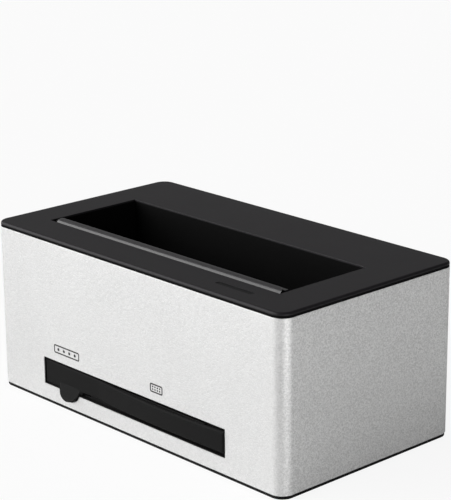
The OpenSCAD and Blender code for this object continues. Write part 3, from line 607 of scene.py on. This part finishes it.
def make_sleeve():
    """Extruded sleeve with its front window and tab notch, and the window of the rear panel."""
    top = Vector((sleeve_high.x, sleeve_high.y, rim_z))
    sleeve = rounded_tube("sleeve_shell", sleeve_low, top, corner, wall)
    edge_round = 0.12 * mm
    round_edges(sleeve, edge_round, lambda place, way: abs(way.z) < 0.5 and (
        abs(place.z - sleeve_low.z) < near or abs(place.z - rim_z) < near) and on_outline(place), 3)
    depth = Vector((0, wall + over, 0))
    cut(sleeve, box("window_tool", window_low - depth, window_high + depth))
    cut(sleeve, rod("tab_tool", tab_middle, tab_room, 2 * depth.y, "Y", 96))
    panel_low, panel_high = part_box("rear_panel")
    panel_edge, panel_z = 4 * mm, 10.3 * mm
    cut(sleeve, box("panel_tool", Vector((panel_low.x + panel_edge, back - depth.y, panel_z)),
                    Vector((panel_high.x - panel_edge, back + depth.y, panel_high.z - panel_edge))))
    round_edges(sleeve, edge_round, lambda place, way: (
        abs(place.y - front) < near and in_window(place)) or (
        abs(place.y - back) < near and in_panel(place, panel_low, panel_high, panel_z, panel_edge)), 2)
    dress(sleeve, "housing", "sleeve_metal", "sleeve")


def make_top_frame():
    """Top frame: a plate with a round edge, the drive slot, the indicator slit, a skirt, and screw bosses."""
    top = frame_high.z
    edge_round, mouth_round = 1.15 * mm, 0.3 * mm
    plate_low = Vector((frame_low.x, frame_low.y, groove_z))
    plate = rounded_box("top_frame_shell", plate_low, frame_high, corner)
    round_edges(plate, edge_round, lambda place, way: abs(place.z - top) < near, 8)
    cut(plate, slot_box("slot_tool", 0, top + over))
    round_edges(plate, mouth_round, lambda place, way: abs(place.z - top) < near and in_slot(place), 3)
    skirt_gap = wall + 0.25 * mm
    root = groove_z + 0.3 * mm
    skirt_low = Vector((frame_low.x + skirt_gap, frame_low.y + skirt_gap, frame_low.z))
    skirt_high = Vector((frame_high.x - skirt_gap, frame_high.y - skirt_gap, root))
    add(plate, rounded_tube("skirt", skirt_low, skirt_high, corner - skirt_gap, rim))
    slit_low, slit_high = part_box("light_guide")
    slit_y = (slit_low.y + slit_high.y) / 2
    lamp_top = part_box("indicator_board")[1].z
    post_gap, post_radius = 3.4 * mm, 1.6 * mm
    for x in (slit_low.x - post_gap, slit_high.x + post_gap):
        post = Vector((x, slit_y, (lamp_top + root) / 2))
        add(plate, rod("lamp_post", post, post_radius, root - lamp_top, "Z", 24))
    boss_radius, bore_radius, bore_length = 3.2 * mm, 1.35 * mm, 7.2 * mm
    for x, y in ((-60.9, -40.25), (25.5, -40.25), (-60.9, 23.45), (59.1, 23.45)):
        boss = Vector((x * mm, y * mm, (frame_low.z + root) / 2))
        add(plate, rod("boss", boss, boss_radius, root - frame_low.z, "Z", 32))
        cut(plate, rod("bore", Vector((boss.x, boss.y, frame_low.z)), bore_radius, bore_length, "Z", 24))
    well_margin, roof = 1.85 * mm, 0.8 * mm
    cut(plate, slot_box("well_tool", well_margin, top - roof))
    cut(plate, box("slit_tool", Vector((slit_low.x, slit_y - half_slit, sleeve_high.z - over)),
                   Vector((slit_high.x, slit_y + half_slit, top + over))))
    dress(plate, "housing", "frame_plastic", "top_frame")


def make_painted_shadow_neck():
    """Dark groove under the top frame's round edge, a painted shadow: a neck in the well's darkened matte
    plastic, set back a little from the sleeve's outline.
    """
    inset = Vector((0.08 * mm, 0.08 * mm, 0))
    neck_wall, overlap = 2.6 * mm, 0.1 * mm
    low = Vector((frame_low.x, frame_low.y, rim_z)) + inset
    high = Vector((frame_high.x, frame_high.y, groove_z + overlap)) - inset
    neck = rounded_tube("top_frame_neck", low, high, corner - inset.x, neck_wall)
    # The neck's near-black plastic is painted shadow under the frame's round edge.
    dress(neck, "housing", "frame_plastic", material=finishes["well_plastic"])


def make_light_guide():
    """Smoked light guide: a block over the lamps, and a bar that stands in the slit."""
    low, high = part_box("light_guide")
    shoulder = sleeve_high.z
    clear, sunk = 0.05 * mm, 0.15 * mm
    slit_y = (low.y + high.y) / 2
    bar_half = half_slit - clear
    guide = box("light_guide_bar", low, Vector((high.x, high.y, shoulder)))
    add(guide, box("bar", Vector((low.x + clear, slit_y - bar_half, shoulder - over)),
                   Vector((high.x - clear, slit_y + bar_half, frame_high.z - sunk))))
    ease(guide, 0.1 * mm)
    dress(guide, "housing", "guide_smoke", "light_guide")


def make_flap():
    """Dust flap: a round barrel with a slanted right end, a plate below, ribs, and a pad for the spring."""
    barrel_left, barrel_right = -71.725 * mm, flap_high.x
    radius, bore_radius, spring_radius = 3.2 * mm, 0.85 * mm, 2.35 * mm
    middle = Vector(((barrel_left + barrel_right) / 2, hinge.y, hinge.z))
    flap = rod("dust_flap", middle, radius, barrel_right - barrel_left, "X", 96)
    inner, outer, shoulder = hinge.y + 0.2 * mm, hinge.y + 1.99 * mm, hinge.z + 2.49 * mm
    joined = inner + 0.5 * mm
    add(flap, box("plate", Vector((flap_low.x, inner, flap_low.z)), Vector((flap_high.x, outer, shoulder))))
    first_rib, rib_pitch, rib_half = -63.725, 32.694, 0.6 * mm
    rib_front, rib_foot = inner - 1.4 * mm, flap_low.z + 4 * mm
    for rib in range(5):
        x = (first_rib + rib * rib_pitch) * mm
        add(flap, box("rib", Vector((x - rib_half, rib_front, rib_foot)),
                      Vector((x + rib_half, joined, hinge.z))))
    pad_left, pad_front = -73.525 * mm, hinge.y - 1.35 * mm
    pad_foot, pad_top = hinge.z - 13.6 * mm, hinge.z - 8.6 * mm
    add(flap, box("pad", Vector((pad_left, pad_front, pad_foot)), Vector((barrel_left, joined, pad_top))))
    notch_foot = hinge.z - 8 * mm
    cut(flap, box("notch", Vector((flap_low.x - over, inner - over, notch_foot)),
                  Vector((barrel_left, outer + over, shoulder + over))))
    hood_left, hood_end, hood_round = -74.5 * mm, barrel_left + 2 * mm, 0.6 * mm
    hood_middle = Vector(((hood_left + hood_end) / 2, hinge.y, hinge.z))
    hood = rod("hood", hood_middle, radius, hood_end - hood_left, "X", 96)
    round_edges(hood, hood_round, lambda place, way: abs(place.x - hood_left) < near, 5)
    add(flap, hood)
    spring_end, leg_top = barrel_left - 0.2 * mm, hinge.z - 0.3 * mm
    spring_middle = Vector(((hood_left - over + spring_end) / 2, hinge.y, hinge.z))
    cut(flap, rod("spring_room", spring_middle, spring_radius, spring_end - hood_left + over, "X", 48))
    cut(flap, box("leg_room", Vector((hood_left - over, hinge.y - radius - over, hinge.z - radius - over)),
                  Vector((spring_end, hinge.y + radius + over, leg_top))))
    cut(flap, rod("bore", middle, bore_radius, 2 * (barrel_right - hood_left), "X", 32))
    slant_length, slant_front, slant_way = 16 * mm, hinge.y - 1.6 * mm, (1, 3.0556, 0)
    for depth, reach in ((2.5 * mm, radius), (1.2 * mm, 0.2 * mm)):
        tool = box("slant", Vector((barrel_right - slant_length, hinge.y - radius, hinge.z + depth)),
                   Vector((barrel_right + over, hinge.y + reach, hinge.z + radius + over)))
        pick(tool, "FACE", lambda place, way: True)
        bpy.ops.mesh.bisect(plane_co=Vector((barrel_right, slant_front, hinge.z)),
                            plane_no=slant_way, use_fill=True, clear_inner=True)
        done()
        cut(flap, tool)
    ease(flap, 0.18 * mm)
    dress(flap, "flap", "flap_plastic", "slot_flap")


def make_spring():
    """Return spring: a leg on the well's wall, a coil round the pin, and a leg behind the flap's pad."""
    start_x, pitch, radius, turns, steps = -77.05 * mm, 1.1 * mm, 1.7 * mm, 3.75, 90
    wire_radius, leg, clear = 0.3 * mm, 13 * mm, 0.1 * mm
    end_x = start_x + pitch * turns
    path = [Vector((start_x, slot_low.y + clear, hinge.z - radius))]
    for step in range(steps + 1):
        angle = 2 * math.pi * turns * step / steps
        path.append(Vector((start_x + pitch * turns * step / steps,
                            hinge.y + radius * math.sin(angle), hinge.z - radius * math.cos(angle))))
    path.append(Vector((end_x, hinge.y - radius, hinge.z - leg)))
    data = bpy.data.curves.new("flap_return_spring", "CURVE")
    data.dimensions = "3D"
    data.bevel_depth = wire_radius
    data.bevel_resolution = 3
    data.use_fill_caps = True
    wire = data.splines.new("POLY")
    wire.points.add(len(path) - 1)
    for spot, place in zip(wire.points, path):
        spot.co = (*place, 1)
    spring = bpy.data.objects.new("flap_return_spring", data)
    scene.collection.objects.link(spring)
    only(spring)
    bpy.ops.object.convert(target="MESH")
    spring = bpy.context.object
    pick(spring, "VERT", lambda place, way: True)
    bpy.ops.mesh.remove_doubles(threshold=near)
    bpy.ops.mesh.normals_make_consistent(inside=False)
    done()
    smooth(spring)
    spring.data.materials.clear()
    spring.data.materials.append(blackened_steel)
    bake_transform(spring)
    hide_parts("flap_spring")


def add_plug(cover, low, high):
    """Adds the hollow plug that holds the cover in a connector's opening of the bezel."""
    grip, thin = 0.5 * mm, 1.2 * mm
    root, plug_end = front + 0.9 * mm, cover_back
    foot = window_low.z + 2.8 * mm
    plug = box("plug", Vector((low.x - grip, root, foot)), Vector((high.x + grip, plug_end, high.z + grip)))
    inner = thin - grip
    cut(plug, box("hollow", Vector((low.x + inner, root - over, foot + thin)),
                  Vector((high.x - inner, plug_end + over, high.z - inner))))
    ease(plug, 0.25 * mm)
    add(cover, plug)


def make_cover():
    """Rubber port cover: flat on the left, narrow and bowed right of its crease, with a leaning tab."""
    face, thick = front + 0.5 * mm, 1.2 * mm
    crease, step = -23 * mm, -36 * mm
    gap, top_gap = 0.5 * mm, 1.2 * mm
    front_round, back_round, tab_round = 0.9 * mm, 0.2 * mm, 0.4 * mm
    low = Vector((window_low.x + gap, face, window_low.z + gap))
    high = Vector((window_high.x - gap, face + thick, window_high.z - top_gap))
    cover = box("port_cover_rubber", low, high)
    round_edges(cover, front_round, lambda place, way: place.y < face + near, 4)
    round_edges(cover, back_round, lambda place, way: place.y > high.y - near, 2)
    pick(cover, "EDGE", lambda place, way: abs(way.x) > 0.9)
    bpy.ops.mesh.subdivide(number_cuts=121)
    done()
    pick(cover, "EDGE", lambda place, way: abs(way.z) > 0.9)
    bpy.ops.mesh.subdivide(number_cuts=9)
    done()
    swell, lift = 1.35 * mm, 1.1 * mm
    raised, notch, notch_width, dropped = 1.7 * mm, 0.5 * mm, 0.08, 0.65 * mm
    for vertex in cover.data.vertices:
        along = (vertex.co.x - crease) / (high.x - crease)
        upward = (vertex.co.z - low.z) / (high.z - low.z)
        if vertex.co.x > step:
            vertex.co.z += (raised + notch * math.exp(-(along / notch_width) ** 2)) * (1 - upward)
        if along > 0:
            vertex.co.y -= swell * math.sin(math.pi * along) + lift * along
            vertex.co.z -= dropped * 4 * along * (1 - along) * upward
    for node in ("power_outlet", "box_header"):
        add_plug(cover, *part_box(node))
    tab = rod("tab", Vector((tab_middle.x, face + thick / 2, tab_middle.z)), tab_radius, thick, "Y", 96)
    round_edges(tab, tab_round, lambda place, way: abs(way.y) < 0.5, 3)
    tab_reach = Vector((tab_radius + over, 2 * thick, tab_radius + over))
    half_off = Vector((tab_middle.x, face, tab_middle.z + tab_reach.z + over))
    cut(tab, box("upper_half", half_off - tab_reach, half_off + tab_reach))
    tab_lean = math.radians(25)
    tab_root = (tab_middle.x, face, tab_middle.z)
    pick(tab, "VERT", lambda place, way: True)
    bpy.ops.transform.rotate(value=tab_lean, orient_axis="X", center_override=tab_root)
    done()
    add(cover, tab)
    dress(cover, "cover", "cover_rubber", "port_cover")


def make_bezel():
    """Port bezel: a plate behind the window, a mouth for each connector, and a lip on the sill and ends that
    lays dark plastic over the metal sill as painted shade.
    """
    low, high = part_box("port_bezel")
    bezel = box("port_bezel_moulding", low, high)
    margin, mouth_round = Vector((0.8 * mm, 0, 0.8 * mm)), 0.3 * mm
    for node in ("power_outlet", "box_header"):
        mouth_low, mouth_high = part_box(node)
        mouth_low.y, mouth_high.y = low.y - over, high.y + over
        cut(bezel, box("mouth", mouth_low - margin, mouth_high + margin))
    round_edges(bezel, mouth_round, lambda place, way: abs(place.y - low.y) < near and (
        low.x + over < place.x < high.x - over and low.z + over < place.z < high.z - over), 2)
    # The lip covers the window's metal sill and ends with dark plastic: painted shade for the sill under the
    # cover.
    clear, lip, overlap = 0.03 * mm, 0.35 * mm, 0.3 * mm
    lip_low = Vector((window_low.x + clear, front + 0.3 * mm, window_low.z + clear))
    lip_high = Vector((window_high.x - clear, low.y + overlap, window_high.z - clear))
    ring = box("lip", lip_low, lip_high)
    cut(ring, box("opening", lip_low + Vector((lip, -over, lip)), lip_high + Vector((-lip, over, over))))
    cut(ring, rod("tab_tool", tab_middle, tab_room, 4 * wall, "Y", 96))
    add(bezel, ring)
    dress(bezel, "housing", "connector_black", "port_bezel", material=matte_base_painted_shade)


def make_base_lip_with_painted_shadow():
    """Lip of the base plate: a thin dark band that shows under the sleeve all round, partly the base plate's
    own black edge and partly painted contact shadow where it reaches down below the plate.
    """
    inset = Vector((0.4 * mm, 0.4 * mm, 0))
    # The band reaches lower than the base plate, close to the floor: that lower part is painted contact
    # shadow.
    foot, clear, band_wall, edge_round = 0.42 * mm, 0.02 * mm, 0.45 * mm, 0.12 * mm
    low = Vector((sleeve_low.x, sleeve_low.y, foot)) + inset
    high = Vector((sleeve_high.x, sleeve_high.y, sleeve_low.z - clear)) - inset
    band = rounded_tube("base_plate_lip", low, high, corner - inset.x, band_wall)
    round_edges(band, edge_round, lambda place, way: abs(way.z) < 0.5 and place.z < low.z + near, 2)
    dress(band, "housing", "frame_plastic", material=matte_base_painted_shade)


def make_feet():
    """Four rubber feet: a disc with a soft lower rim and a shallow hollow, copied to each corner."""
    low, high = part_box("rubber_feet")
    radius, rim_round = 7 * mm, 0.45 * mm
    margin, slope, hollow = 2.4 * mm, 0.5 * mm, 0.25 * mm
    middle = Vector((high.x - radius, high.y - radius, (low.z + high.z) / 2))
    foot = rod("foot", middle, radius, high.z - low.z, "Z", 64)
    round_edges(foot, rim_round, lambda place, way: place.z < low.z + near, 4)
    pick(foot, "FACE", lambda place, way: way.z < -0.99)
    bpy.ops.mesh.inset(thickness=margin, depth=0)
    bpy.ops.mesh.inset(thickness=slope, depth=-hollow)
    done()
    feet = [foot]
    for right, far in ((False, True), (True, False), (False, False)):
        only(foot)
        bpy.ops.object.duplicate()
        copy = bpy.context.object
        shift = Vector((0 if right else -2 * (high.x - radius), 0 if far else -2 * (high.y - radius), 0))
        bpy.ops.transform.translate(value=shift)
        bpy.ops.object.transform_apply(location=True)
        feet.append(copy)
    for copy in feet:
        copy.select_set(True)
    bpy.context.view_layer.objects.active = foot
    bpy.ops.object.join()
    foot.name = "rubber_foot_set"
    dress(foot, "housing", "cover_rubber", "rubber_feet")


def eased_copy(node, body, slot, width):
    """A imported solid's own shape with its facets merged and its sharp edges broken, in the solid's place."""
    piece = bpy.data.objects.new(node + "_eased", nodes[node].data.copy())
    scene.collection.objects.link(piece)
    only(piece)
    bpy.ops.mesh.customdata_custom_splitnormals_clear()
    pick(piece, "VERT", lambda place, way: True)
    bpy.ops.mesh.remove_doubles(threshold=near)
    bpy.ops.mesh.select_all(action="SELECT")
    bpy.ops.mesh.tris_convert_to_quads(face_threshold=math.radians(1), shape_threshold=math.radians(60))
    done()
    ease(piece, width * mm)
    dress(piece, body, slot, node)


def flat_ring(name, middle, width, height, radius, line, thick):
    """A printed outline on the front, given by its middle."""
    half = Vector((width / 2, thick / 2, height / 2))
    ring = box(name, middle - half, middle + half)
    round_edges(ring, radius, lambda place, way: abs(way.y) > 0.9, 6)
    inner = half - Vector((line, -over, line))
    hole = box("hole", middle - inner, middle + inner)
    round_edges(hole, max(radius - line, 0.1 * mm), lambda place, way: abs(way.y) > 0.9, 6)
    cut(ring, hole)
    return ring


def print_mark(name, x, z, width, height, columns, rows, pitch, dot):
    """A printed map of a connector's pins above its place: an outline with a dot for each pin."""
    thick, outline_round, line, row_pitch = 0.04 * mm, 0.9 * mm, 0.68 * mm, 1.2
    middle = Vector((x * mm, front - thick / 4, z * mm))
    mark = flat_ring(name, middle, width * mm, height * mm, outline_round, line, thick)
    for column in range(columns):
        for row in range(rows):
            across = (column - (columns - 1) / 2) * pitch * mm
            upward = (row - (rows - 1) / 2) * row_pitch * mm
            add(mark, rod("dot", middle + Vector((across, 0, upward)), dot * mm, thick, "Y", 20))
    dress(mark, "housing", "frame_plastic", material=dark_ink)


def print_switch_marks():
    """A line and a ring printed on the rear panel, either side of the rocker switch."""
    thick, reach = 0.04 * mm, 3.2 * mm
    half_line, half_height, ring_hole = 0.25 * mm, 1.5 * mm, 1.0 * mm
    panel_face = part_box("rear_panel")[1].y + thick / 4
    low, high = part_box("switch_body")
    middle_z = (low.z + high.z) / 2
    spot = Vector((high.x + reach, panel_face, middle_z))
    half = Vector((half_line, thick / 2, half_height))
    line = box("switch_line", spot - half, spot + half)
    spot = Vector((low.x - reach, panel_face, middle_z))
    ring = rod("switch_ring", spot, half_height, thick, "Y", 48)
    cut(ring, rod("hole", spot, ring_hole, 2 * thick, "Y", 48))
    for mark in (line, ring):
        dress(mark, "housing", "connector_black", material=white_ink)


make_sleeve()
make_top_frame()
make_painted_shadow_neck()
make_light_guide()
make_flap()
make_spring()
make_cover()
make_bezel()
make_base_lip_with_painted_shadow()
make_feet()
print_mark("outlet_mark", x=-45.0, z=28.8, width=18.5, height=4.2, columns=4, rows=1, pitch=4.0, dot=0.75)
print_mark("header_mark", x=17.9, z=28.5, width=8.4, height=4.2, columns=4, rows=2, pitch=1.55, dot=0.45)
print_switch_marks()
for node, body, slot, width in (
        ("rear_panel", "housing", "connector_black", 0.25),
        ("power_inlet", "housing", "connector_black", 0.25),
        ("data_socket", "housing", "shell_nickel", 0.1),
        ("socket_tongue", "housing", "nylon_white", 0.15),
        ("switch_body", "housing", "connector_black", 0.25),
        ("switch_rocker", "rocker", "connector_black", 0.3),
        ("box_header", "housing", "connector_black", 0.15),
        ("power_outlet", "housing", "nylon_white", 0.2),
        ("drive_receptacle", "housing", "connector_black", 0.2)):
    eased_copy(node, body, slot, width)


# Studio: a pale floor, a wide low key from the front left, a small lamp on the right, and a dim room

def make_floor():
    """Wide pale floor that reads as white paper and keeps the shadow."""
    bpy.ops.object.select_all(action="DESELECT")
    bpy.ops.mesh.primitive_circle_add(vertices=96, radius=6, fill_type="NGON")
    floor = named("floor")
    paper = Finish("paper", Roughness=0.9, Specular_IOR_Level=0.1)
    fibre = paper.noise(1.2, 3)
    paper.feed(Base_Color=paper.blend((0.70, 0.70, 0.70), (0.73, 0.73, 0.73), fibre))
    seen = paper.node("ShaderNodeLightPath", output="Is Camera Ray")
    glossy = paper.node("ShaderNodeLightPath", output="Is Glossy Ray")
    through = paper.node("ShaderNodeLightPath", output="Is Transmission Ray")
    share = 0.9 * seen + 0.25 * glossy + 0.25 * through
    white = paper.node("ShaderNodeEmission", {}, {"Color": (1, 1, 1, 1), "Strength": 1.0})
    shown = paper.node("ShaderNodeMixShader", {}, {
        0: share, 1: Signal(paper, paper.shader.outputs[0]), 2: white})
    output = paper.tree.nodes["Material Output"]
    paper.tree.links.new(shown.socket, output.inputs["Surface"])
    floor.data.materials.append(paper.material)


def daylight(name, place, spread, power):
    """A wide soft lamp, far off in the direction of a place, so that it lights the whole floor evenly."""
    data = bpy.data.lights.new(name, "SUN")
    data.angle = math.radians(spread)
    data.energy = power
    lamp = bpy.data.objects.new(name, data)
    lamp.rotation_euler = (-place).to_track_quat("-Z", "Y").to_euler()
    scene.collection.objects.link(lamp)


def softbox(name, place, aim, width, height, power):
    """A flat soft lamp that faces its aim."""
    data = bpy.data.lights.new(name, "AREA")
    data.shape = "RECTANGLE"
    data.size = width
    data.size_y = height
    data.energy = power
    lamp = bpy.data.objects.new(name, data)
    lamp.location = place
    lamp.rotation_euler = (aim - place).to_track_quat("-Z", "Y").to_euler()
    scene.collection.objects.link(lamp)


def make_room():
    """Dim grey light from all round, brighter on the left."""
    world = bpy.data.worlds.new("room")
    world.use_nodes = True
    tree = world.node_tree
    way = tree.nodes.new("ShaderNodeTexCoord")
    split = tree.nodes.new("ShaderNodeSeparateXYZ")
    fade = tree.nodes.new("ShaderNodeMapRange")
    span, dim, bright = 0.8, 0.04, 0.36
    fade.inputs["From Min"].default_value = span
    fade.inputs["From Max"].default_value = -span
    fade.inputs["To Min"].default_value = dim
    fade.inputs["To Max"].default_value = bright
    tree.links.new(way.outputs["Generated"], split.inputs[0])
    tree.links.new(split.outputs["X"], fade.inputs["Value"])
    tree.links.new(fade.outputs[0], tree.nodes["Background"].inputs["Color"])
    scene.world = world


make_floor()
make_room()
daylight("key", Vector((-0.66, -0.68, 0.26)), spread=85, power=5.8)
softbox("right", point(576, -138, 120), point(90, -50, 45), width=0.16, height=0.14, power=1.05)
